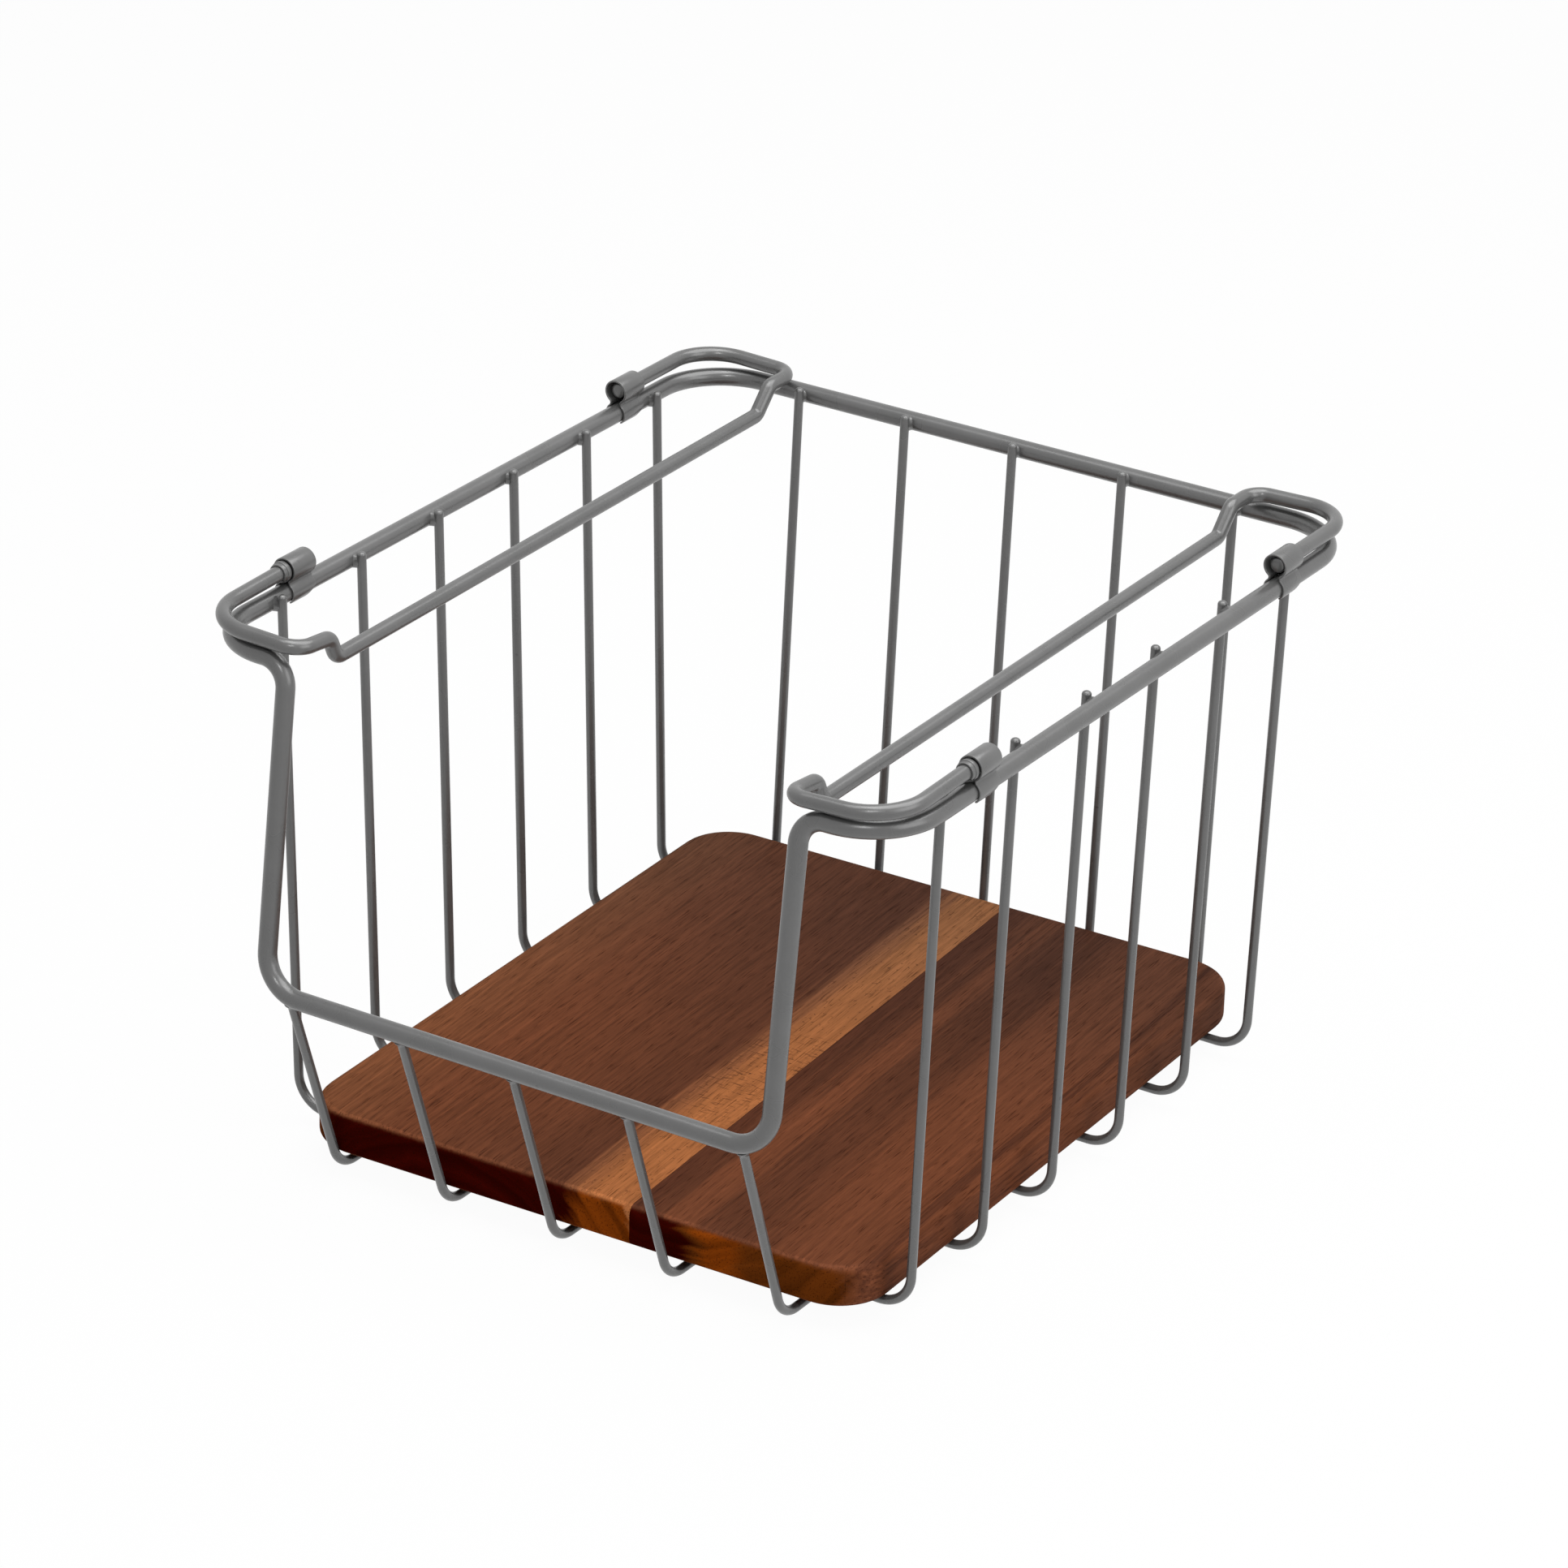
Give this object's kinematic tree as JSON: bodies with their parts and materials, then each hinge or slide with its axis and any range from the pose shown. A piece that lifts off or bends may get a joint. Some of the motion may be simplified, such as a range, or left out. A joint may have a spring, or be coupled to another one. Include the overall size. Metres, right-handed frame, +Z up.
{
  "type": "wire basket",
  "caption": "Stackable wire storage basket with a low open front, round-cornered rim, two folding side bails held by strap clips, and a lift-out wooden board on the wire floor.",
  "frame": {"origin": "On the floor, under the middle of the basket's bounding box.", "axes": "X to the right seen from the low open front, Y to the back, Z up. The low front faces -Y."},
  "size_m": [0.2356, 0.2716, 0.1733],
  "materials": {
    "coated_wire": "satin grey powder coat",
    "coated_strap": "satin grey powder coat on sheet metal",
    "light_wood": "oiled reddish-brown acacia with a pale sapwood band",
    "dark_wood": "oiled dark reddish-brown acacia with lighter streaks"
  },
  "bodies": {
    "basket": {"rim_frame": "coated_wire", "cross_wire_1": "coated_wire", "cross_wire_2": "coated_wire", "cross_wire_3": "coated_wire", "cross_wire_4": "coated_wire", "cross_wire_5": "coated_wire", "cross_wire_6": "coated_wire", "long_wire_1": "coated_wire", "long_wire_2": "coated_wire", "long_wire_3": "coated_wire", "long_wire_4": "coated_wire", "long_wire_5": "coated_wire", "left_front_clip": "coated_strap", "left_rear_clip": "coated_strap", "right_front_clip": "coated_strap", "right_rear_clip": "coated_strap"},
    "left_bail": {"left_bail": "coated_wire", "left_collar": "coated_strap"},
    "right_bail": {"right_bail": "coated_wire", "right_collar": "coated_strap"},
    "board": {"board_left_stave": "light_wood", "board_right_stave": "dark_wood", "board_edge_stave": "dark_wood"}
  },
  "joints": [
    {"name": "left_bail_swing", "type": "hinge", "parent": "basket", "child": "left_bail", "pos_m": [-0.114, 0.00585, 0.1695], "axis": [0, -1, 0], "range_deg": [0, 275]},
    {"name": "right_bail_swing", "type": "hinge", "parent": "basket", "child": "right_bail", "pos_m": [0.114, 0.00585, 0.1695], "axis": [0, 1, 0], "range_deg": [0, 275]},
    {"name": "board_lift", "type": "slide", "parent": "basket", "child": "board", "axis": [0, 0, 1], "range_m": [0, 0.13]}
  ]
}
